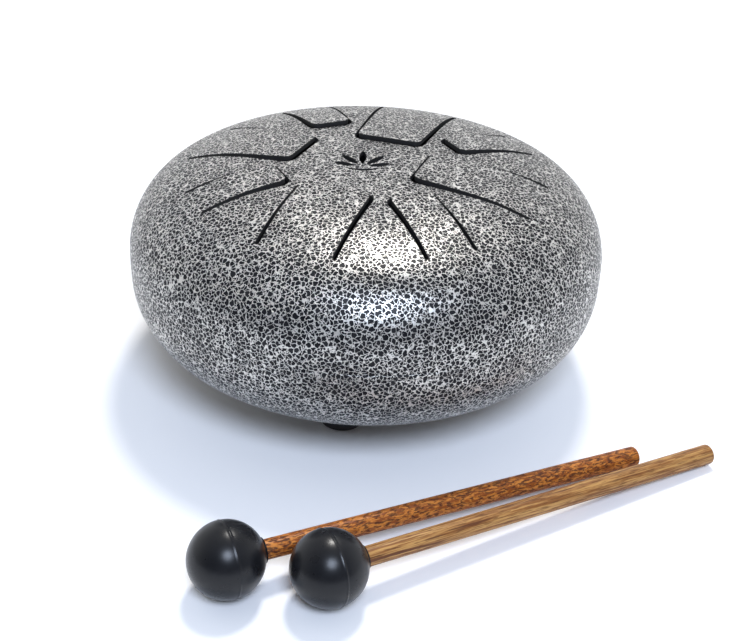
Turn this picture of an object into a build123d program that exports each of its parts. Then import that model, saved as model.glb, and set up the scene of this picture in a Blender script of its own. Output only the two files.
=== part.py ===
from build123d import *
from math import acos, asin, cos, degrees, radians, sin
import os

# A small steel tongue drum with its two mallets, in millimetres.
# The origin is on the drum's own axis, on the surface that it stands on.
# +Z is up, -Y is the player's side.

# ---- driving dimensions: the sheet-metal body ----
DRUM_RADIUS = 76.0          # nominal 6 inch drum
DRUM_HEIGHT = 73.0          # standing surface to the centre of the playing face
SHEET = 1.5                 # steel thickness
SIDE_HEIGHT = 7.0           # straight band at the equator, both shells together
SHOULDER_RADIUS = 24.5      # pressed shoulder
SHOULDER_SWEEP = 68.0       # degrees of shoulder above the equator
DOME_RADIUS = 74.5          # gentle dome inside the shoulder
CROWN_RADIUS = 480.0        # nearly flat middle plate

# ---- the eight tongues ----
SLOT_WIDTH = 1.1
TIP_LIFT = 1.2              # each free end stands this much proud of the plate
TIP_CORNER = 2.2            # rounding of a slot's two inner corners, on its centre line
ROOT_LAP = 0.8              # how far a bent tongue reaches into the plate at its root
# name: (heading, skew, tip distance, root distance, width at the tip, width at the root)
# Distances run from the drum's axis and widths between slot centre lines. The skew turns a
# tongue about the middle of its own root.
TONGUES = {
    "back": (72.2, 2.1, 13.5, 53.7, 21.9, 26.3),
    "back_left": (115.2, -1.2, 28.9, 54.0, 13.9, 17.5),
    "left": (161.0, -4.2, 20.7, 56.0, 20.0, 26.4),
    "front_left": (-153.2, -0.2, 29.8, 58.0, 14.5, 14.9),
    "front": (-109.6, 0.7, 25.7, 57.8, 23.5, 23.4),
    "front_right": (-65.1, 0.1, 29.2, 58.4, 14.4, 15.3),
    "right": (-19.7, 0.5, 17.4, 55.4, 21.7, 23.8),
    "back_right": (26.8, 3.0, 28.1, 55.5, 12.5, 16.0),
}

# ---- the cut-out ornament in the middle ----
FLOWER_BASE = (-2.0, -8.1)  # the point that all its petals run out from
PETAL_ANGLES = (-72.0, -37.0, 0.0, 37.0, 72.0)
PETAL_LENGTHS = (7.4, 9.0, 10.2, 9.0, 7.4)
PETAL_WIDTH = 2.4
PETAL_START = 2.1           # bare metal between the base point and each petal
CRADLE_HALF_WIDTH = 5.6
CRADLE_END_DROP = 0.5       # the cradle's three levels below the base point
CRADLE_UPPER_DROP = 1.5
CRADLE_LOWER_DROP = 2.9

# ---- the seam, the sound port and the feet ----
WELD_DEPTH = 0.9
PORT_RADIUS = 15.0
FOOT_CIRCLE_RADIUS = 40.0
FOOT_AZIMUTHS = {"foot_front": -98.0, "foot_right": 22.0, "foot_left": 142.0}
FOOT_TOP_RADIUS = 7.7
FOOT_BOTTOM_RADIUS = 7.0
FOOT_EDGE = 0.8
RECESS_RADIUS = 4.4
RECESS_DEPTH = 4.0
WASHER_RADIUS = 4.0
WASHER_THICKNESS = 0.8
SCREW_SHANK_RADIUS = 1.75
SCREW_PILOT_RADIUS = 1.6    # self-tapping, so the hole in the steel is a little smaller
SCREW_CLEARANCE_RADIUS = 2.0
SCREW_HEAD_RADIUS = 3.3
SCREW_HEAD_HEIGHT = 2.0
SCREW_TIP_HEIGHT = 13.6     # top of the screw, inside the body
CROSS_RECESS = 0.8          # arm width of the driver recess

# ---- the mallets ----
HEAD_RADIUS = 10.4
STICK_BUTT_RADIUS = 3.05
STICK_NECK_RADIUS = 2.75
TENON_RADIUS = 2.7
BORE_RADIUS = 2.65          # the rubber head is stretched over the stick's end
BORE_PAST_CENTRE = 2.0
BUTT_EDGE = 0.35
# name: (head centre x, head centre y, heading from the head to the butt, head centre to butt)
MALLETS = {
    "rear_mallet": (-32.2, -117.5, 27.3, 130.6),
    "front_mallet": (-5.6, -119.2, 29.7, 129.3),
}


def shell_section(inset):
    """Half outline of one shell, from the equator to the axis, moved inwards by inset."""
    half_side = SIDE_HEIGHT / 2
    shoulder_x = DRUM_RADIUS - SHOULDER_RADIUS
    sweep = radians(SHOULDER_SWEEP)
    dome_x = shoulder_x + (SHOULDER_RADIUS - DOME_RADIUS) * cos(sweep)
    dome_z = half_side + (SHOULDER_RADIUS - DOME_RADIUS) * sin(sweep)
    crown_start = acos(dome_x / (CROWN_RADIUS - DOME_RADIUS))
    crown_z = dome_z + (DOME_RADIUS - CROWN_RADIUS) * sin(crown_start)
    dome_sweep = degrees(crown_start) - SHOULDER_SWEEP
    side = Line((DRUM_RADIUS - inset, 0), (DRUM_RADIUS - inset, half_side))
    shoulder = CenterArc((shoulder_x, half_side), SHOULDER_RADIUS - inset, 0, SHOULDER_SWEEP)
    dome = CenterArc((dome_x, dome_z), DOME_RADIUS - inset, SHOULDER_SWEEP, dome_sweep)
    crown = CenterArc(
        (0, crown_z), CROWN_RADIUS - inset, degrees(crown_start), 90 - degrees(crown_start)
    )
    return [side, shoulder, dome, crown], crown_z + CROWN_RADIUS - inset


HALF_HEIGHT = shell_section(0)[1]
SEAM_Z = DRUM_HEIGHT - HALF_HEIGHT


def solid_half(inset):
    """A solid of revolution filled from the equator plane up to the section."""
    edges, top = shell_section(inset)
    outline = edges + [
        Line((0, top), (0, 0)),
        Line((0, 0), (DRUM_RADIUS - inset, 0)),
    ]
    return revolve(Plane.XZ * make_face(outline), Axis.Z)


def weld_bead():
    """V-shaped bead at the equator, ground flush with the outside."""
    groove = Polygon(
        (DRUM_RADIUS, -WELD_DEPTH),
        (DRUM_RADIUS, WELD_DEPTH),
        (DRUM_RADIUS - WELD_DEPTH, 0),
        align=None,
    )
    return revolve(Plane.XZ * groove, Axis.Z)


def half_shell():
    """One pressed shell above the equator plane, with its edge bevelled for the weld."""
    return solid_half(0) - solid_half(SHEET) - weld_bead()


def tongue_outline(tip, root, tip_width, root_width, grow):
    """Plan of a tongue with its length along +X, inwards from its root."""
    blank = Polygon(
        (root, -root_width / 2 - grow),
        (root, root_width / 2 + grow),
        (tip - grow, tip_width / 2 + grow),
        (tip - grow, -tip_width / 2 - grow),
        align=None,
    )
    tip_corners = blank.vertices().sort_by(Axis.X)[:2]
    return fillet(tip_corners, TIP_CORNER + grow)


def dome_height(radius):
    """Height of the outside of the plate above the equator, in the dome's part of it."""
    sweep = radians(SHOULDER_SWEEP)
    dome_x = DRUM_RADIUS - SHOULDER_RADIUS + (SHOULDER_RADIUS - DOME_RADIUS) * cos(sweep)
    dome_z = SIDE_HEIGHT / 2 + (SHOULDER_RADIUS - DOME_RADIUS) * sin(sweep)
    return dome_z + (DOME_RADIUS**2 - (radius - dome_x) ** 2) ** 0.5


def cut_tongue(plate, full_shell, heading, skew, tip, root, tip_width, root_width):
    """Open the slot round one tongue and bend the tongue up about its root."""
    half_slot = SLOT_WIDTH / 2
    window = tongue_outline(tip, root, tip_width, root_width, half_slot)
    tongue = tongue_outline(tip, root, tip_width, root_width, -half_slot)
    lap = Pos(root, 0) * Rectangle(2 * ROOT_LAP, root_width - 4 * SLOT_WIDTH)
    slot_ends = Sketch() + [
        Pos(root, side * root_width / 2) * Circle(half_slot) for side in (-1, 1)
    ]
    root_point = Pos(root, 0)
    place = Rot(0, 0, heading) * root_point * Rot(0, 0, skew) * root_point.inverse()
    opening = place * extrude(window + slot_ends, DRUM_HEIGHT)
    blank = place * extrude(tongue + lap, DRUM_HEIGHT)
    patch = full_shell & blank
    root_line = Axis((root, 0, dome_height(root) - SHEET / 2), (0, 1, 0))
    bend = degrees(asin(TIP_LIFT / (root - tip)))
    local_patch = place.inverse() * patch
    bent = place * local_patch.rotate(root_line, bend)
    return plate - opening, bent


def petal(length, width):
    """A pointed petal, base at the origin and tip along +Y."""
    right = ThreePointArc((0, 0), (width / 2, length / 2), (0, length))
    left = ThreePointArc((0, length), (-width / 2, length / 2), (0, 0))
    return make_face([right, left])


def flower():
    """Five petals over a thin cradle, as through cuts joined by bare bridges."""
    cuts = Sketch()
    for angle, length in zip(PETAL_ANGLES, PETAL_LENGTHS):
        cuts += Rot(0, 0, -angle) * Pos(0, PETAL_START) * petal(length, PETAL_WIDTH)
    left_end = (-CRADLE_HALF_WIDTH, -CRADLE_END_DROP)
    right_end = (CRADLE_HALF_WIDTH, -CRADLE_END_DROP)
    upper = ThreePointArc(left_end, (0, -CRADLE_UPPER_DROP), right_end)
    lower = ThreePointArc(right_end, (0, -CRADLE_LOWER_DROP), left_end)
    return Pos(*FLOWER_BASE) * (cuts + make_face([upper, lower]))


def make_upper_shell():
    full = half_shell()
    plate = full
    patches = []
    for sizes in TONGUES.values():
        plate, bent = cut_tongue(plate, full, *sizes)
        patches.append(bent)
    for bent in patches:
        plate += bent
    plate -= extrude(flower(), DRUM_HEIGHT)
    return Pos(0, 0, SEAM_Z) * plate


def foot_places():
    """Where each foot's axis meets the standing surface."""
    return {
        name: Rot(0, 0, azimuth) * Pos(FOOT_CIRCLE_RADIUS, 0, 0)
        for name, azimuth in FOOT_AZIMUTHS.items()
    }


def make_lower_shell():
    shell = Pos(0, 0, SEAM_Z) * mirror(half_shell(), about=Plane.XY)
    shell -= Cylinder(PORT_RADIUS, DRUM_HEIGHT)
    for place in foot_places().values():
        shell -= place * Cylinder(SCREW_PILOT_RADIUS, DRUM_HEIGHT)
    return shell


def make_foot(place):
    """Rubber foot that follows the bowl, with a recess for its screw and washer."""
    height = SEAM_Z
    body = Cone(
        FOOT_BOTTOM_RADIUS,
        FOOT_BOTTOM_RADIUS + (FOOT_TOP_RADIUS - FOOT_BOTTOM_RADIUS) * 3,
        height,
        align=(Align.CENTER, Align.CENTER, Align.MIN),
    )
    bottom_edge = body.edges().sort_by(Axis.Z)[0]
    body = fillet(bottom_edge, FOOT_EDGE)
    body -= Cylinder(RECESS_RADIUS, 2 * RECESS_DEPTH)
    body -= Cylinder(SCREW_CLEARANCE_RADIUS, 4 * height)
    bowl = Pos(0, 0, SEAM_Z) * mirror(solid_half(0), about=Plane.XY)
    return place * body - bowl


def make_washer(place):
    ring = Circle(WASHER_RADIUS) - Circle(SCREW_CLEARANCE_RADIUS)
    washer = extrude(ring, WASHER_THICKNESS)
    return place * Pos(0, 0, RECESS_DEPTH - WASHER_THICKNESS) * washer


def make_screw(place):
    """Pan-head screw standing head down in the foot, with a cross recess."""
    seat = RECESS_DEPTH - WASHER_THICKNESS
    low = seat - SCREW_HEAD_HEIGHT
    taper = SCREW_SHANK_RADIUS
    outline = [
        Line((0, low), (SCREW_HEAD_RADIUS * 0.6, low)),
        ThreePointArc(
            (SCREW_HEAD_RADIUS * 0.6, low),
            (SCREW_HEAD_RADIUS * 0.9, low + SCREW_HEAD_HEIGHT * 0.3),
            (SCREW_HEAD_RADIUS, seat),
        ),
        Line((SCREW_HEAD_RADIUS, seat), (SCREW_SHANK_RADIUS, seat)),
        Line((SCREW_SHANK_RADIUS, seat), (SCREW_SHANK_RADIUS, SCREW_TIP_HEIGHT - taper)),
        Line((SCREW_SHANK_RADIUS, SCREW_TIP_HEIGHT - taper), (0, SCREW_TIP_HEIGHT)),
        Line((0, SCREW_TIP_HEIGHT), (0, low)),
    ]
    screw = revolve(Plane.XZ * make_face(outline), Axis.Z)
    arm = Box(SCREW_HEAD_RADIUS, CROSS_RECESS, SCREW_HEAD_HEIGHT)
    screw -= Pos(0, 0, low) * (arm + Rot(0, 0, 90) * arm)
    return place * screw


def mallet_place(x, y, heading, length):
    """Frame at the head's centre with +X along the stick, so that the butt rests on its rim."""
    drop = degrees(asin((HEAD_RADIUS - STICK_BUTT_RADIUS) / length))
    return Pos(x, y, HEAD_RADIUS) * Rot(0, 0, heading) * Rot(0, drop, 0)


def make_head(place):
    bore_length = HEAD_RADIUS + BORE_PAST_CENTRE
    bore = Cylinder(BORE_RADIUS, bore_length, align=(Align.CENTER, Align.CENTER, Align.MIN))
    ball = Sphere(HEAD_RADIUS) - Pos(-BORE_PAST_CENTRE, 0, 0) * Rot(0, 90, 0) * bore
    return place * ball


def make_stick(place, length):
    """Turned stick: a tenon inside the head, then a slow taper out to the butt."""
    neck = HEAD_RADIUS
    outline = Polygon(
        (-BORE_PAST_CENTRE, 0),
        (-BORE_PAST_CENTRE, TENON_RADIUS),
        (neck, TENON_RADIUS),
        (neck, STICK_NECK_RADIUS),
        (length - BUTT_EDGE, STICK_BUTT_RADIUS),
        (length, STICK_BUTT_RADIUS - BUTT_EDGE),
        (length, 0),
        align=None,
    )
    return place * revolve(outline, Axis.X)


os.makedirs("parts", exist_ok=True)

export_step(make_upper_shell(), "parts/upper_shell.step")
export_step(make_lower_shell(), "parts/lower_shell.step")
export_step(Pos(0, 0, SEAM_Z) * weld_bead(), "parts/seam_weld.step")

for name, place in foot_places().items():
    export_step(make_foot(place), f"parts/{name}.step")
washers = [make_washer(place) for place in foot_places().values()]
export_step(Compound(children=washers), "parts/foot_washers.step")
screws = [make_screw(place) for place in foot_places().values()]
export_step(Compound(children=screws), "parts/foot_screws.step")

for name, (x, y, heading, length) in MALLETS.items():
    place = mallet_place(x, y, heading, length)
    export_step(make_head(place), f"parts/{name}_head.step")
    export_step(make_stick(place, length), f"parts/{name}_stick.step")

print("seam height", round(SEAM_Z, 3))
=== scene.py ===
from math import acos, asin, atan2, cos, pi, radians, sin, sqrt

import bpy
from mathutils import Matrix, Vector


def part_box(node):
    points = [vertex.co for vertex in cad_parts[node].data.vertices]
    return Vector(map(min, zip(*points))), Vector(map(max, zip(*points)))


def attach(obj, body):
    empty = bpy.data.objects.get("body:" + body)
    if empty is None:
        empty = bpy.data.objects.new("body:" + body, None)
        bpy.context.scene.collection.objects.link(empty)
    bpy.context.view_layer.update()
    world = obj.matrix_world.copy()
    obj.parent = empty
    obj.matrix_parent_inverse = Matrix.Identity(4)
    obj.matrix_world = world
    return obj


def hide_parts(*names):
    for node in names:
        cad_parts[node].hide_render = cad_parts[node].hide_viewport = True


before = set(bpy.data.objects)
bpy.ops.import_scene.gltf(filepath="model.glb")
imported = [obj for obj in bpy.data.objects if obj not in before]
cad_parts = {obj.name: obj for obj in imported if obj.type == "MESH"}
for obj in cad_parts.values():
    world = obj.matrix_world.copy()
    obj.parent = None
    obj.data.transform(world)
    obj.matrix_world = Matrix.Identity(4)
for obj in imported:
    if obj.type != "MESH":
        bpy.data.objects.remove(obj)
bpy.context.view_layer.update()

MM = 0.001

# ---------------------------------------------------------------- sizes
# read from the frame
weld_low, weld_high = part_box("seam_weld")
DRUM_RADIUS = (weld_high.x - weld_low.x) / 2
SEAM_Z = (weld_low.z + weld_high.z) / 2
WELD_HALF = (weld_high.z - weld_low.z) / 2
WELD_ROOT = (DRUM_RADIUS - WELD_HALF, SEAM_Z)

# the pressed shells' own section
SHEET = 1.5 * MM
HALF_SIDE = 3.5 * MM
SHOULDER_RADIUS = 24.5 * MM
SHOULDER_SWEEP = radians(68.0)
DOME_RADIUS = 74.5 * MM
CROWN_RADIUS = 480.0 * MM
OUTSIDE_COUNTS = (2, 22, 16, 12)  # points on the side, shoulder, dome and crown
INSIDE_COUNTS = (2, 12, 10, 8)
WELD_CROWN = 0.05 * MM
WELD_CLEARANCE = 0.2 * MM  # from the weld's edge to the shell's next point
PORT_RADIUS = 15.0 * MM
PORT_EDGE = 0.35 * MM
PILOT_RADIUS = 1.6 * MM
PILOT_LOW, PILOT_HIGH = 2 * MM, 18 * MM

FEET = ("foot_front", "foot_right", "foot_left")
FOOT_RADIUS = 7.0 * MM
FOOT_EDGE = 0.8 * MM
FOOT_WAIST = 6 * MM
FOOT_TOP = 14 * MM  # inside the bowl, which trims it
WAIST_FLARE, TOP_FLARE = 0.3 * MM, 0.7 * MM
RECESS_RADIUS = 4.4 * MM
RECESS_DEPTH = 4.0 * MM
RECESS_EDGE = 0.4 * MM
CLEARANCE_RADIUS = 2.0 * MM

# mallets: heading from the head to the butt, and the distance between them
MALLETS = {
    "rear_mallet": (radians(27.3), 130.6 * MM),
    "front_mallet": (radians(29.7), 129.3 * MM),
}
BUTT_RADIUS = 3.05 * MM
NECK_RADIUS = 2.75 * MM
TENON_RADIUS = 2.7 * MM
TENON_START = -2.0 * MM
BUTT_EDGE = 0.5 * MM
STICK_RUNS = 24
BORE_RADIUS = 2.72 * MM
BORE_BOTTOM = -2.2 * MM
RIDGE_HEIGHT, RIDGE_HALF_WIDTH = 0.10 * MM, 0.28 * MM
LIP_RADIUS = 0.45 * MM
LIP_SET_IN = 0.1 * MM
MOUTH_CLEARANCE = 0.05 * MM
BACK_HALF_SMALLER = 0.06 * MM

# tongues, in millimetres: heading, skew, tip distance, root distance, width at the tip and at
# the root, the widths between slot centre lines
TONGUES = {
    "back": (72.2, 2.1, 13.5, 53.7, 21.9, 26.3),
    "back_left": (115.2, -1.2, 28.9, 54.0, 13.9, 17.5),
    "left": (161.0, -4.2, 20.7, 56.0, 20.0, 26.4),
    "front_left": (-153.2, -0.2, 29.8, 58.0, 14.5, 14.9),
    "front": (-109.6, 0.7, 25.7, 57.8, 23.5, 23.4),
    "front_right": (-65.1, 0.1, 29.2, 58.4, 14.4, 15.3),
    "right": (-19.7, 0.5, 17.4, 55.4, 21.7, 23.8),
    "back_right": (26.8, 3.0, 28.1, 55.5, 12.5, 16.0),
}
# what all tongues share, in millimetres
SLOT_WIDTH = 1.4  # between the painted edges, which are softer than the cut in the sheet
TIP_CORNER = 2.8
TIP_LIFT = 1.2
BEND_POWER = 1.25
END_ROUNDING = 0.48  # of the slot's width
END_REACH = 0.1
SLOT_STEP = 3.0  # about how far apart the points of a slot's sides are

# heights above the seam, except for SLOT_CUT_HEIGHT, which is how tall the slots' cutters are
SLOT_CUT_LOW, SLOT_CUT_HEIGHT = 12 * MM, 30 * MM
FLOWER_CUT_LOW, FLOWER_CUT_HIGH = 20 * MM, 45 * MM
TONGUE_LOW = 15 * MM
CROWN_LOW = 18 * MM
FACES_OUT = 0.3  # how far up a crown's face looks when it is the painted side

TURNS = 256


# ---------------------------------------------------------------- camera
CAMERA_PLACE = (3.71 * MM, -349.1 * MM, 223.97 * MM)
CAMERA_PITCH = 0.5441
CAMERA_ROLL = 0.037
SENSOR_WIDTH = 36.0
LENS = 57.6


def look(name, place, pitch, roll):
    """A camera that faces +Y, tipped down by pitch and rolled by roll, in radians."""
    data = bpy.data.cameras.new(name)
    data.sensor_width = SENSOR_WIDTH
    data.lens = LENS
    camera = bpy.data.objects.new(name, data)
    bpy.context.scene.collection.objects.link(camera)
    turn = Matrix.Rotation(pi / 2 - pitch, 4, "X") @ Matrix.Rotation(roll, 4, "Z")
    camera.matrix_world = Matrix.Translation(place) @ turn
    bpy.context.scene.camera = camera


look("camera", CAMERA_PLACE, CAMERA_PITCH, CAMERA_ROLL)


# ---------------------------------------------------------------- modelling helpers
CLOSING_GAP = 0.0001 * MM
SPIN_GAP = 0.002 * MM


def deselect():
    """Leave edit mode and let go of everything."""
    if bpy.context.object and bpy.context.object.mode != "OBJECT":
        bpy.ops.object.mode_set(mode="OBJECT")
    bpy.ops.object.select_all(action="DESELECT")


def pick(piece):
    """Make one object the only selected one."""
    deselect()
    piece.select_set(True)
    bpy.context.view_layer.objects.active = piece


def chain(name, points, closed=False):
    """A chain of edges through the points, drawn from one vertex by extruding it."""
    deselect()
    bpy.ops.mesh.primitive_plane_add(size=MM, location=points[0])
    piece = bpy.context.object
    piece.name = name
    bpy.ops.object.transform_apply(location=True, rotation=True, scale=True)
    bpy.ops.object.mode_set(mode="EDIT")
    bpy.ops.mesh.select_mode(type="VERT")
    bpy.ops.mesh.select_all(action="SELECT")
    bpy.ops.mesh.merge(type="CENTER")
    last = Vector(points[0])
    for point in points[1:]:
        step = Vector(point) - last
        bpy.ops.mesh.extrude_region_move(TRANSFORM_OT_translate={"value": step})
        last = Vector(point)
    if closed:
        bpy.ops.mesh.select_all(action="SELECT")
        bpy.ops.mesh.remove_doubles(threshold=CLOSING_GAP)
    return piece


def lathe(name, outline, centre=(0, 0, 0), axis=(0, 0, 1), side=(1, 0, 0), turns=TURNS):
    """A turned piece: the outline's (radius, height) points spun once round the axis."""
    centre, axis, side = Vector(centre), Vector(axis).normalized(), Vector(side).normalized()
    points = [centre + side * radius + axis * height for radius, height in outline]
    piece = chain(name, points)
    bpy.ops.mesh.select_all(action="SELECT")
    bpy.ops.mesh.spin(steps=turns, angle=2 * pi, center=centre, axis=axis)
    bpy.ops.mesh.select_all(action="SELECT")
    bpy.ops.mesh.remove_doubles(threshold=SPIN_GAP)
    bpy.ops.mesh.normals_make_consistent(inside=False)
    bpy.ops.object.mode_set(mode="OBJECT")
    bpy.ops.object.shade_smooth()
    return piece


def arc(centre, radius, start, stop, count):
    """Points of an arc, with angles in radians from the first coordinate's direction."""
    angles = [start + (stop - start) * i / count for i in range(count + 1)]
    return [(centre[0] + radius * cos(a), centre[1] + radius * sin(a)) for a in angles]


def modifier(piece, kind, **settings):
    """Add a modifier, set it and apply it."""
    pick(piece)
    made = piece.modifiers.new(kind.lower(), kind)
    for key, value in settings.items():
        setattr(made, key, value)
    bpy.ops.object.modifier_apply(modifier=made.name)


def join(pieces, name):
    """Make the pieces one."""
    deselect()
    for piece in pieces:
        piece.select_set(True)
    bpy.context.view_layer.objects.active = pieces[0]
    bpy.ops.object.join()
    pieces[0].name = name
    return pieces[0]


def cut(piece, cutters):
    """Take the cutters out of a piece."""
    cutter = join(cutters, "cutters")
    modifier(piece, "BOOLEAN", operation="DIFFERENCE", object=cutter, solver="EXACT")
    bpy.data.objects.remove(cutter, do_unlink=True)


# ---------------------------------------------------------------- the pressed shells
def section(inset, counts):
    """One shell's (radius, height) points from the equator to the crown's centre, inset inwards."""
    side_count, shoulder_count, dome_count, crown_count = counts
    shoulder_x = DRUM_RADIUS - SHOULDER_RADIUS
    dome_x = shoulder_x + (SHOULDER_RADIUS - DOME_RADIUS) * cos(SHOULDER_SWEEP)
    dome_z = HALF_SIDE + (SHOULDER_RADIUS - DOME_RADIUS) * sin(SHOULDER_SWEEP)
    crown_start = acos(dome_x / (CROWN_RADIUS - DOME_RADIUS))
    crown_z = dome_z + (DOME_RADIUS - CROWN_RADIUS) * sin(crown_start)
    points = [(DRUM_RADIUS - inset, HALF_SIDE * i / side_count) for i in range(side_count)]
    shoulder = (shoulder_x, HALF_SIDE), SHOULDER_RADIUS - inset, 0, SHOULDER_SWEEP
    dome = (dome_x, dome_z), DOME_RADIUS - inset, SHOULDER_SWEEP, crown_start
    crown = (0, crown_z), CROWN_RADIUS - inset, crown_start, pi / 2
    points += arc(*shoulder, shoulder_count)
    points += arc(*dome, dome_count)[1:]
    points += arc(*crown, crown_count)[1:]
    points[-1] = (0, points[-1][1])
    return points


def shell_section(side):
    """Both faces' points of the shell above the seam, side 1, or below it, side -1."""
    outside = [(r, SEAM_Z + side * z) for r, z in section(0, OUTSIDE_COUNTS)]
    inside = [(r, SEAM_Z + side * z) for r, z in section(SHEET, INSIDE_COUNTS)]
    edge = SEAM_Z + side * WELD_HALF
    past_weld = [p for p in outside[1:] if (p[1] - edge) * side > WELD_CLEARANCE]
    return [(DRUM_RADIUS, edge)] + past_weld, inside


def tongue_frame(heading, skew, root):
    """Local frame of a tongue in plan: +X along it towards its root, in millimetres."""
    centre = Vector((root, 0, 0))
    turn = Matrix.Rotation(radians(heading), 4, "Z")
    own = Matrix.Translation(centre) @ Matrix.Rotation(radians(skew), 4, "Z")
    return turn @ own @ Matrix.Translation(-centre)


def slot_line(tip, root, tip_width, root_width):
    """Centre line of the U-shaped slot, and the centre of the rounding at its tip's +Y corner."""
    slope = atan2((root_width - tip_width) / 2, root - tip)
    centre = (
        tip + TIP_CORNER,
        tip_width / 2 - TIP_CORNER * (1 / cos(slope) - sin(slope) / cos(slope)),
    )
    corner = arc(centre, TIP_CORNER, pi / 2 + slope, pi, 6)
    end_x, end_y = corner[0]
    straight = int((root - tip) / SLOT_STEP)
    side = [
        (
            root + (end_x - root) * i / straight,
            (root_width + (end_y * 2 - root_width) * i / straight) / 2,
        )
        for i in range(straight)
    ]
    half = side + corner
    return half + [(x, -y) for x, y in reversed(half)], centre


def slot_cutter(name, heading, skew, tip, root, tip_width, root_width):
    """The laser's path round one tongue, as a thin U-shaped wall."""
    line = slot_line(tip, root, tip_width, root_width)[0]
    place = tongue_frame(heading, skew, root)
    low = Vector((0, 0, SEAM_Z + SLOT_CUT_LOW))
    points = [(place @ Vector((x, y, 0))) * MM + low for x, y in line]
    cutter = chain(name, points)
    bpy.ops.mesh.select_all(action="SELECT")
    bpy.ops.mesh.extrude_region_move(TRANSFORM_OT_translate={"value": (0, 0, SLOT_CUT_HEIGHT)})
    bpy.ops.object.mode_set(mode="OBJECT")
    modifier(cutter, "SOLIDIFY", thickness=SLOT_WIDTH * MM, offset=0, use_even_offset=True)
    round_slot_ends(cutter, place, root)
    return cutter


def round_slot_ends(cutter, place, root):
    """Round the two blind ends of the slot, at its upright edges next to the tongue's root."""
    back = place.inverted()
    pick(cutter)
    bpy.ops.object.mode_set(mode="EDIT")
    bpy.ops.mesh.select_all(action="DESELECT")
    bpy.ops.object.mode_set(mode="OBJECT")
    for edge in cutter.data.edges:
        a, b = (cutter.data.vertices[i].co for i in edge.vertices)
        upright = abs((a - b).z) > SLOT_CUT_HEIGHT / 2
        edge.select = upright and (back @ (a / MM)).x > root - END_REACH
    bpy.ops.object.mode_set(mode="EDIT")
    bpy.ops.mesh.select_mode(type="EDGE")
    bpy.ops.mesh.bevel(offset=END_ROUNDING * SLOT_WIDTH * MM, segments=4, affect="EDGES")
    bpy.ops.mesh.select_all(action="SELECT")
    bpy.ops.mesh.normals_make_consistent(inside=False)
    bpy.ops.object.mode_set(mode="OBJECT")


def prism(name, outline, low, high):
    """A flat outline in plan, filled and extruded upwards."""
    points = [Vector((x, y, low)) for x, y in outline]
    piece = chain(name, points + points[:1], closed=True)
    bpy.ops.mesh.select_all(action="SELECT")
    bpy.ops.mesh.edge_face_add()
    bpy.ops.mesh.extrude_region_move(TRANSFORM_OT_translate={"value": (0, 0, high - low)})
    bpy.ops.mesh.select_all(action="SELECT")
    bpy.ops.mesh.normals_make_consistent(inside=False)
    bpy.ops.object.mode_set(mode="OBJECT")
    return piece


def bow(start, middle, stop, count=8):
    """Points of the shallow arc through three points, in plan."""
    (ax, ay), (bx, by), (cx, cy) = start, middle, stop
    a2, b2, c2 = ax * ax + ay * ay, bx * bx + by * by, cx * cx + cy * cy
    divisor = 2 * (ax * (by - cy) + bx * (cy - ay) + cx * (ay - by))
    x = (a2 * (by - cy) + b2 * (cy - ay) + c2 * (ay - by)) / divisor
    y = (a2 * (cx - bx) + b2 * (ax - cx) + c2 * (bx - ax)) / divisor
    first = atan2(ay - y, ax - x)
    last = atan2(cy - y, cx - x)
    sweep = (last - first + pi) % (2 * pi) - pi
    return arc((x, y), sqrt((ax - x) ** 2 + (ay - y) ** 2), first, first + sweep, count)


FLOWER_BASE = (-2.0, -8.1)
PETAL_ANGLES = (-72.0, -37.0, 0.0, 37.0, 72.0)
PETAL_LENGTHS = (7.4, 9.0, 10.2, 9.0, 7.4)
PETAL_WIDTH = 2.4
PETAL_START = 2.1
CRADLE_HALF_WIDTH = 5.6
CRADLE_END_DROP = 0.5
CRADLE_UPPER_DROP = 1.5
CRADLE_LOWER_DROP = 2.9


def flower_cutter(name, outline, angle=0.0, start=0.0):
    """One opening of the ornament: its outline moved out to start, then turned about the base."""
    turn = Matrix.Rotation(radians(-angle), 2)
    spots = [turn @ Vector((x, y + start)) + Vector(FLOWER_BASE) for x, y in outline]
    return prism(name, [spot * MM for spot in spots], SEAM_Z + FLOWER_CUT_LOW, SEAM_Z + FLOWER_CUT_HIGH)


def flower_cutters():
    """Five petals over a thin cradle."""
    cutters = []
    for number, (angle, length) in enumerate(zip(PETAL_ANGLES, PETAL_LENGTHS)):
        right = bow((0, 0), (PETAL_WIDTH / 2, length / 2), (0, length))
        left = bow((0, length), (-PETAL_WIDTH / 2, length / 2), (0, 0))
        cutters.append(flower_cutter(f"petal_{number}", right[:-1] + left[:-1], angle, PETAL_START))
    left_end = (-CRADLE_HALF_WIDTH, -CRADLE_END_DROP)
    right_end = (CRADLE_HALF_WIDTH, -CRADLE_END_DROP)
    upper = bow(left_end, (0, -CRADLE_UPPER_DROP), right_end, 12)
    lower = bow(right_end, (0, -CRADLE_LOWER_DROP), left_end, 12)
    cutters.append(flower_cutter("cradle", upper[:-1] + lower[:-1]))
    return cutters


def on_tongue(spot, tip, root, tip_width, root_width, centre):
    """Whether a point in a tongue's own frame lies within its slot's centre line."""
    if not tip < spot.x < root:
        return False
    along = (root - spot.x) / (root - tip)
    half = (root_width + (tip_width - root_width) * along) / 2
    if abs(spot.y) > half:
        return False
    if spot.x < centre[0] and abs(spot.y) > centre[1]:
        return (spot.x - centre[0]) ** 2 + (abs(spot.y) - centre[1]) ** 2 < TIP_CORNER**2
    return True


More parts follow.
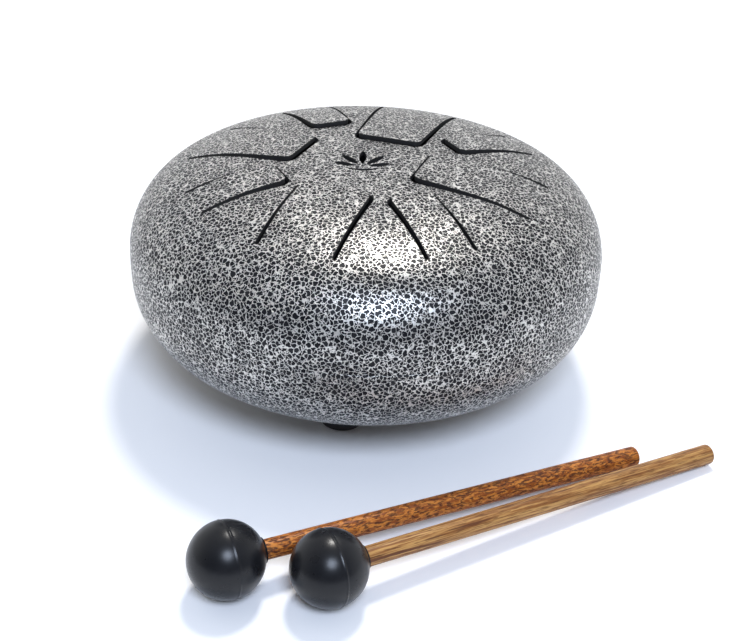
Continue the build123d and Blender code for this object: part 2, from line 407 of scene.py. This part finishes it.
def bend_tongues(shell):
    """Bend each freed tongue up about its root, as it is set when the drum is tuned."""
    group = shell.vertex_groups.new(name="lift")
    tops = [vertex for vertex in shell.data.vertices if vertex.co.z > SEAM_Z + TONGUE_LOW]
    for heading, skew, *sizes in TONGUES.values():
        tip, root = sizes[:2]
        back = tongue_frame(heading, skew, root).inverted()
        centre = slot_line(*sizes)[1]
        for vertex in tops:
            spot = back @ (vertex.co / MM)
            if on_tongue(spot, *sizes, centre):
                along = (root - spot.x) / (root - tip)
                group.add([vertex.index], along**BEND_POWER, "REPLACE")
    lift = {"strength": TIP_LIFT * MM, "vertex_group": group.name}
    modifier(shell, "DISPLACE", direction="Z", mid_level=0, **lift)


def make_upper_shell():
    """The playing side, with the slots that free its tongues and the ornament's openings."""
    outside, inside = shell_section(1)
    outline = outside + inside[::-1] + [WELD_ROOT, outside[0]]
    shell = lathe("upper_shell_painted", outline)
    cutters = [slot_cutter(f"slot_{name}", *sizes) for name, sizes in TONGUES.items()]
    cut(shell, cutters + flower_cutters())
    bend_tongues(shell)
    return shell


def make_lower_shell():
    """The bowl, with the sound port and a pilot hole for each foot's screw."""
    outside, inside = shell_section(-1)
    bottom = outside[-1][1]
    flatness = CROWN_RADIUS - sqrt(CROWN_RADIUS**2 - PORT_RADIUS**2)
    port = bottom + flatness
    middle = PORT_RADIUS + PORT_EDGE
    lip = arc((middle, port + PORT_EDGE), PORT_EDGE, -pi / 2, -pi, 4)
    lip += arc((middle, port + SHEET - PORT_EDGE), PORT_EDGE, pi, pi / 2, 4)
    outside, inside = ([p for p in face if p[0] > PORT_RADIUS] for face in (outside, inside))
    outline = outside + lip + inside[::-1] + [WELD_ROOT, outside[0]]
    shell = lathe("lower_shell_painted", outline)
    hole = [(0, PILOT_LOW), (PILOT_RADIUS, PILOT_LOW), (PILOT_RADIUS, PILOT_HIGH), (0, PILOT_HIGH)]
    pilots = [lathe(f"pilot_{name}", hole, foot_centre(name), turns=24) for name in FEET]
    cut(shell, pilots)
    return shell


def make_weld():
    """The seam's bead, ground back until it is barely proud of the shells."""
    outline = [
        (DRUM_RADIUS, SEAM_Z - WELD_HALF),
        (DRUM_RADIUS + WELD_CROWN * 0.75, SEAM_Z - WELD_HALF / 2),
        (DRUM_RADIUS + WELD_CROWN, SEAM_Z),
        (DRUM_RADIUS + WELD_CROWN * 0.75, SEAM_Z + WELD_HALF / 2),
        (DRUM_RADIUS, SEAM_Z + WELD_HALF),
        WELD_ROOT,
        (DRUM_RADIUS, SEAM_Z - WELD_HALF),
    ]
    return lathe("seam_weld_painted", outline)


# ---------------------------------------------------------------- feet
def foot_centre(name):
    """The point on the table under the middle of a foot."""
    low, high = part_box(name)
    return (low.x + high.x) / 2, (low.y + high.y) / 2, 0


def make_foot(name):
    """A moulded rubber foot, hollow underneath for its screw, its top shaped to the bowl."""
    outline = [(CLEARANCE_RADIUS, FOOT_TOP), (CLEARANCE_RADIUS, RECESS_DEPTH)]
    outline.append((RECESS_RADIUS, RECESS_DEPTH))
    outline += arc((RECESS_RADIUS + RECESS_EDGE, RECESS_EDGE), RECESS_EDGE, pi, 3 * pi / 2, 4)
    outline += arc((FOOT_RADIUS - FOOT_EDGE, FOOT_EDGE), FOOT_EDGE, -pi / 2, 0, 8)
    outline += [(FOOT_RADIUS + WAIST_FLARE, FOOT_WAIST), (FOOT_RADIUS + TOP_FLARE, FOOT_TOP)]
    outline.append(outline[0])
    foot = lathe(f"{name}_rubber", outline, foot_centre(name), turns=96)
    bowl = [(r, SEAM_Z - z) for r, z in section(0, OUTSIDE_COUNTS)]
    cut(foot, [lathe("bowl", bowl + [(0, SEAM_Z), bowl[0]])])
    return foot


# ---------------------------------------------------------------- mallets
def mallet_axis(name):
    """Head centre, the ways to the butt and level across the stick, head radius and length."""
    low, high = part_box(f"{name}_head")
    centre = (low + high) / 2
    heading, length = MALLETS[name]
    radius = (high.x - low.x) / 2
    drop = asin((radius - BUTT_RADIUS) / length)
    along = Vector((cos(heading) * cos(drop), sin(heading) * cos(drop), -sin(drop)))
    return centre, along, Vector((-sin(heading), cos(heading), 0)), radius, length


def make_head(name):
    """A moulded rubber ball with its parting line, stretched over the end of the stick."""
    centre, along, across, radius, length = mallet_axis(name)
    seam = asin(RIDGE_HALF_WIDTH / radius)
    front = arc((0, 0), radius, -pi / 2, -seam, 40)
    front[0] = (0, -radius)
    ridge = [
        (radius + RIDGE_HEIGHT * 0.8, -RIDGE_HALF_WIDTH / 3),
        (radius + RIDGE_HEIGHT, 0),
        (radius + RIDGE_HEIGHT * 0.5, RIDGE_HALF_WIDTH / 2),
    ]
    small = radius - BACK_HALF_SMALLER
    mouth = NECK_RADIUS + MOUTH_CLEARANCE + LIP_RADIUS
    back = arc((0, 0), small, seam * 1.3, acos((mouth + LIP_SET_IN) / small), 40)
    lip_height = sqrt(small**2 - mouth**2) - LIP_RADIUS * 0.1
    lip = arc((mouth, lip_height), LIP_RADIUS, pi * 0.35, pi, 8)
    bore = [(BORE_RADIUS, radius * 0.6), (BORE_RADIUS, BORE_BOTTOM), (0, BORE_BOTTOM)]
    outline = front + ridge + back + lip + bore
    return lathe(f"{name}_head_rubber", outline, centre, along, across, turns=128)


def make_stick(name):
    """A turned stick: a slow taper from the head out to the butt, its end's edge broken."""
    centre, along, across, radius, length = mallet_axis(name)
    outline = [(0, TENON_START), (TENON_RADIUS, TENON_START), (TENON_RADIUS, radius * 0.9)]
    shaft = length - radius - BUTT_EDGE
    for i in range(STICK_RUNS):
        t = i / STICK_RUNS
        outline.append((NECK_RADIUS + (BUTT_RADIUS - NECK_RADIUS) * t, radius + shaft * t))
    outline += arc((BUTT_RADIUS - BUTT_EDGE, length - BUTT_EDGE), BUTT_EDGE, 0, pi / 2, 5)
    outline.append((0, length))
    return lathe(f"{name}_stick_wood", outline, centre, along, across, turns=64)


# ---------------------------------------------------------------- materials
# a Mix node's sockets for colours
MIX_FACTOR, MIX_START, MIX_STOP, MIX_RESULT = 0, 6, 7, 2


class Wire:
    """A node's output in a material. Arithmetic on wires adds Math nodes."""

    def __init__(self, tree, socket=None):
        self.tree = tree
        self.socket = socket

    def node(self, kind, settings, inputs, output=0):
        """Any node: its type, its settings, its sockets' values or wires, and the output wanted.

        A material's output node has none, and the wire it gives leads nowhere.
        """
        made = self.tree.nodes.new(kind)
        for key, value in settings.items():
            setattr(made, key, value)
        for key, value in inputs.items():
            if isinstance(value, Wire):
                self.tree.links.new(value.socket, made.inputs[key])
            else:
                made.inputs[key].default_value = value
        return Wire(self.tree, made.outputs[output] if made.outputs else None)

    def maths(self, operation, *values):
        return self.node("ShaderNodeMath", {"operation": operation}, dict(enumerate(values)))

    def __add__(self, other):
        return self.maths("ADD", self, other)

    __radd__ = __add__

    def __sub__(self, other):
        return self.maths("SUBTRACT", self, other)

    def __rsub__(self, other):
        return self.maths("SUBTRACT", other, self)

    def __mul__(self, other):
        return self.maths("MULTIPLY", self, other)

    __rmul__ = __mul__

    def lowest(self, other):
        return self.maths("MINIMUM", self, other)

    def step(self, low, high):
        """A smooth step from 0 at low to 1 at high."""
        settings = {"interpolation_type": "SMOOTHSTEP"}
        inputs = {"Value": self, "From Min": low, "From Max": high, "To Min": 0.0, "To Max": 1.0}
        return self.node("ShaderNodeMapRange", settings, inputs)

    def blend(self, start, stop):
        """A colour from start where this wire is 0 to stop where it is 1."""
        start, stop = ((*c, 1) if isinstance(c, tuple) else c for c in (start, stop))
        inputs = {MIX_FACTOR: self, MIX_START: start, MIX_STOP: stop}
        return self.node("ShaderNodeMix", {"data_type": "RGBA"}, inputs, MIX_RESULT)

    def push(self, other, amount):
        """This place, moved by another wire's vector about its middle value."""
        inputs = {0: other, 1: (0.5, 0.5, 0.5)}
        centred = self.node("ShaderNodeVectorMath", {"operation": "SUBTRACT"}, inputs)
        inputs = {0: centred, 1: (amount, amount, amount), 2: self}
        return self.node("ShaderNodeVectorMath", {"operation": "MULTIPLY_ADD"}, inputs)

    def noise(self, size, detail=2.0, roughness=0.5, output="Fac"):
        """Noise whose coarsest features are about size metres apart."""
        inputs = {"Vector": self, "Scale": 1 / size, "Detail": detail, "Roughness": roughness}
        return self.node("ShaderNodeTexNoise", {}, inputs, output)

    def cells(self, pitch, feature="F1", output="Distance"):
        """Cells about pitch metres apart."""
        inputs = {"Vector": self, "Scale": 1 / pitch}
        return self.node("ShaderNodeTexVoronoi", {"feature": feature}, inputs, output)


def finish_material(name, build, **constants):
    """A Principled material: build gives the varying sockets' wires, constants the rest."""
    material = bpy.data.materials.new(name)
    material.use_nodes = True
    tree = material.node_tree
    tree.nodes.clear()
    start = Wire(tree)
    place = start.node("ShaderNodeTexCoord", {}, {}, "Object")
    varying = build(place)
    surface = start.node("ShaderNodeBsdfPrincipled", {}, {**constants, **varying}, "BSDF")
    start.node("ShaderNodeOutputMaterial", {}, {"Surface": surface})
    return material


def bump(height, depth, strength=1.0):
    """A Normal wire from a height between 0 and 1, depth metres from low to high."""
    inputs = {"Height": height, "Distance": depth, "Strength": strength}
    return height.node("ShaderNodeBump", {}, inputs, "Normal")


def hammertone(place):
    """Dark dimples in a raised silver network, as the enamel pulls itself together in drying."""
    pitch = 1.32 * MM
    warped = place.push(place.noise(0.9 * MM, 1.0, 0.5, "Color"), 1.3 * MM)
    edge = warped.cells(pitch, "DISTANCE_TO_EDGE")
    near = warped.cells(pitch)
    tint = warped.cells(pitch, "F1", "Color")
    own = tint.node("ShaderNodeSeparateColor", {}, {0: tint}, "Red")
    patch = place.noise(7 * MM, 1.0)
    rim = 0.052 + 0.06 * (patch - 0.5)
    reach = 0.74 + 0.12 * own
    room = ((edge - rim) * 1.4).lowest(reach - near)
    dimple = room.step(-0.03, 0.07)
    fine = place.noise(0.35 * MM, 3.0, 0.6)
    dark = own.blend((0.004, 0.004, 0.006), (0.016, 0.016, 0.018))
    silver = fine.blend((0.48, 0.47, 0.448), (0.92, 0.904, 0.867))
    height = (1 - dimple) * 0.9 + fine * 0.1
    return {
        "Base Color": dimple.blend(silver, dark),
        "Metallic": 0.80 - 0.75 * dimple,
        "Roughness": 0.27 + 0.04 * dimple + 0.10 * fine,
        "Normal": bump(height, 0.12 * MM),
    }


def inside_painted_shade(place):
    """Painted shade: near-black on the shells' inner faces and the slots' cut walls, where shade falls.
    """
    cloud = place.noise(3 * MM, 3.0, 0.6)
    return {
        "Base Color": cloud.blend((0.010, 0.010, 0.011), (0.030, 0.029, 0.028)),
        "Roughness": 0.50 + 0.2 * cloud,
        "Normal": bump(cloud, 0.03 * MM, 0.5),
    }


def moulded_rubber(place):
    """Satin black rubber with a faint flow pattern and a fine tooth."""
    cloud = place.noise(6 * MM, 3.0, 0.6)
    tooth = place.noise(0.25 * MM)
    return {
        "Base Color": cloud.blend((0.006, 0.0065, 0.008), (0.013, 0.0135, 0.016)),
        "Roughness": 0.22 + 0.14 * cloud,
        "Normal": bump(tooth, 0.02 * MM, 0.35),
    }


def foot_rubber(place):
    """Plain matt black rubber."""
    tooth = place.noise(0.4 * MM, 3.0)
    return {
        "Base Color": tooth.blend((0.012, 0.012, 0.014), (0.030, 0.030, 0.033)),
        "Roughness": 0.55 + 0.15 * tooth,
        "Normal": bump(tooth, 0.03 * MM, 0.5),
    }


def zinc_plate(place):
    """Zinc-plated steel with a slight crystalline cloud."""
    cloud = place.noise(1.2 * MM, 3.0, 0.65)
    return {
        "Base Color": cloud.blend((0.46, 0.48, 0.50), (0.70, 0.70, 0.68)),
        "Roughness": 0.24 + 0.22 * cloud,
        "Normal": bump(cloud, 0.01 * MM, 0.5),
    }


def mapped(place, **changes):
    """The place through a Mapping node."""
    inputs = {"Vector": place, **{key.capitalize(): value for key, value in changes.items()}}
    return place.node("ShaderNodeMapping", {"vector_type": "POINT"}, inputs)


def along_grain(place, name, stretch):
    """The place with its X along a stick, squeezed that way so that a pattern is drawn out."""
    centre, along, across = mallet_axis(name)[:3]
    turn = Matrix((along, across, along.cross(across)))
    turned = mapped(place, location=-(turn @ centre), rotation=turn.to_euler())
    return mapped(turned, scale=(1 / stretch, 1.0, 1.0))


def golden_wood(place):
    """Straight-grained golden tan wood with dark pores drawn out along the stick."""
    grain = along_grain(place, "front_mallet", 26.0)
    sway = grain.push(grain.noise(3 * MM, 2.0, 0.5, "Color"), 0.8 * MM)
    bands = sway.noise(0.75 * MM, 4.0, 0.66)
    pore = along_grain(place, "front_mallet", 10.0).noise(0.4 * MM).step(0.53, 0.65)
    streak = grain.noise(1.0 * MM, 3.0, 0.6).step(0.53, 0.66)
    tone = place.noise(26 * MM)
    light = tone.blend((0.38, 0.187, 0.052), (0.57, 0.325, 0.112))
    body = bands.step(0.40, 0.60).blend(light, (0.22, 0.085, 0.022))
    shade = (streak * 0.9).blend(body, (0.10, 0.030, 0.010))
    return {
        "Base Color": (pore * 0.6).blend(shade, (0.09, 0.034, 0.012)),
        "Roughness": 0.44 + 0.2 * pore,
        "Normal": bump(bands * 0.5 - pore * 0.5, 0.08 * MM, 0.7),
    }


def reddish_wood(place):
    """Coarse reddish wood, its grain broken into slanting flecks."""
    grain = mapped(along_grain(place, "rear_mallet", 3.2), rotation=(0.25, 0.20, 0.55))
    sway = grain.push(grain.noise(2.0 * MM, 2.0, 0.5, "Color"), 1.4 * MM)
    bands = sway.noise(0.80 * MM, 4.0, 0.68)
    fleck = sway.noise(0.52 * MM).step(0.49, 0.60)
    tone = place.noise(18 * MM)
    base = tone.blend((0.155, 0.035, 0.005), (0.30, 0.080, 0.012))
    body = bands.step(0.40, 0.58).blend((0.55, 0.195, 0.032), base)
    return {
        "Base Color": (fleck * 0.8).blend(body, (0.045, 0.014, 0.006)),
        "Roughness": 0.40 + 0.22 * fleck,
        "Normal": bump(bands * 0.4 - fleck * 0.6, 0.12 * MM, 0.9),
    }


def pale_table(place):
    """Matt white, with a cloud too faint to see as a pattern."""
    cloud = place.noise(125 * MM)
    return {"Base Color": cloud.blend((0.95, 0.955, 0.97), (0.97, 0.975, 0.985))}


enamel = finish_material("hammertone_enamel", hammertone, IOR=1.27)
# near-black painted shade for the shells' inner faces and the slots' cut walls
painted_shade_material = finish_material("inside_painted_shade", inside_painted_shade)
head_black = finish_material("head_rubber", moulded_rubber, IOR=1.36)
foot_black = finish_material("foot_rubber", foot_rubber)
zinc = finish_material("zinc_steel", zinc_plate, Metallic=1.0)
golden = finish_material("golden_wood", golden_wood, IOR=1.35)
reddish = finish_material("reddish_wood", reddish_wood, IOR=1.35)


# ---------------------------------------------------------------- putting the object together
def place_piece(piece, node, body, material):
    """A new piece stands for its CAD node, rides with its body and has its finish."""
    piece.data.materials.clear()
    piece.data.materials.append(material)
    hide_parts(node)
    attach(piece, body)


def smooth(piece, angle):
    """Smooth a piece's faces, but not over edges sharper than the angle, in degrees."""
    pick(piece)
    bpy.ops.object.shade_smooth_by_angle(angle=radians(angle))


def paint_outside(shell, side):
    """Enamel outside, painted shade inside and in the cuts, for the shell above the seam or below.

    Side is 1 above and -1 below. The crown has cuts, so its painted faces are those that look
    out along the axis. The rest has none, and its painted faces look away from the axis.
    """
    shell.data.materials.append(painted_shade_material)
    # inner faces and cut walls take the painted shade, the rest keeps the enamel
    for face in shell.data.polygons:
        if (face.center.z - SEAM_Z) * side > CROWN_LOW:
            in_shade = face.normal.z * side < FACES_OUT
        else:
            in_shade = face.normal.x * face.center.x + face.normal.y * face.center.y < 0
        if in_shade:
            face.material_index = 1


for make, node, side in (
    (make_upper_shell, "upper_shell", 1),
    (make_lower_shell, "lower_shell", -1),
):
    piece = make()
    smooth(piece, 35)
    place_piece(piece, node, "drum", enamel)
    paint_outside(piece, side)
place_piece(make_weld(), "seam_weld", "drum", enamel)
for name in FEET:
    piece = make_foot(name)
    smooth(piece, 40)
    place_piece(piece, name, "drum", foot_black)
for name, slot, wood in (
    ("rear_mallet", "reddish_wood", reddish),
    ("front_mallet", "golden_wood", golden),
):
    place_piece(make_head(name), f"{name}_head", name, head_black)
    stick = make_stick(name)
    smooth(stick, 50)
    place_piece(stick, f"{name}_stick", name, wood)
for name in ("foot_washers", "foot_screws"):
    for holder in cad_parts[name].material_slots:
        holder.material = zinc


# ---------------------------------------------------------------- table, light and air
LAMP_DISTANCE = 1.1
TABLE_SIZE = 6.0


def soft_light(name, direction, size, power, colour):
    """A round lamp that faces the drum from a direction."""
    data = bpy.data.lights.new(name, "AREA")
    data.shape = "DISK"
    data.size = size
    data.energy = power
    data.color = colour
    lamp = bpy.data.objects.new(name, data)
    bpy.context.scene.collection.objects.link(lamp)
    direction = Vector(direction).normalized()
    place = Vector((0, 0, SEAM_Z)) + direction * LAMP_DISTANCE
    turn = direction.to_track_quat("Z", "Y").to_matrix().to_4x4()
    lamp.matrix_world = Matrix.Translation(place) @ turn


def make_air():
    """Pale air, brighter behind the drum than in front of it, and dimmer high up."""
    air = bpy.data.worlds.new("air")
    bpy.context.scene.world = air
    air.use_nodes = True
    direction = Wire(air.node_tree).node("ShaderNodeTexCoord", {}, {}, "Generated")
    backward = direction.node("ShaderNodeSeparateXYZ", {}, {0: direction}, "Y")
    upward = direction.node("ShaderNodeSeparateXYZ", {}, {0: direction}, "Z")
    glow = backward.step(-0.80, 0.45) * (1 - 0.40 * upward.step(0.25, 0.85)) * 0.90 + 0.05
    background = air.node_tree.nodes["Background"]
    background.inputs["Color"].default_value = (0.97, 0.98, 1.0, 1)
    air.node_tree.links.new(glow.socket, background.inputs["Strength"])


deselect()
bpy.ops.mesh.primitive_plane_add(size=TABLE_SIZE, location=(0, 0, 0))
table = bpy.context.object
table.name = "table"
table.data.materials.append(finish_material("pale_table", pale_table, Roughness=0.6))

soft_light("lamp_behind", (0.08, 0.41, 0.91), size=0.24, power=8.0, colour=(1.0, 0.97, 0.93))
soft_light("lamp_in_front", (0.13, -0.66, 0.74), size=0.44, power=10.0, colour=(0.71, 0.81, 1.0))
make_air()
bpy.context.scene.view_settings.view_transform = "Standard"
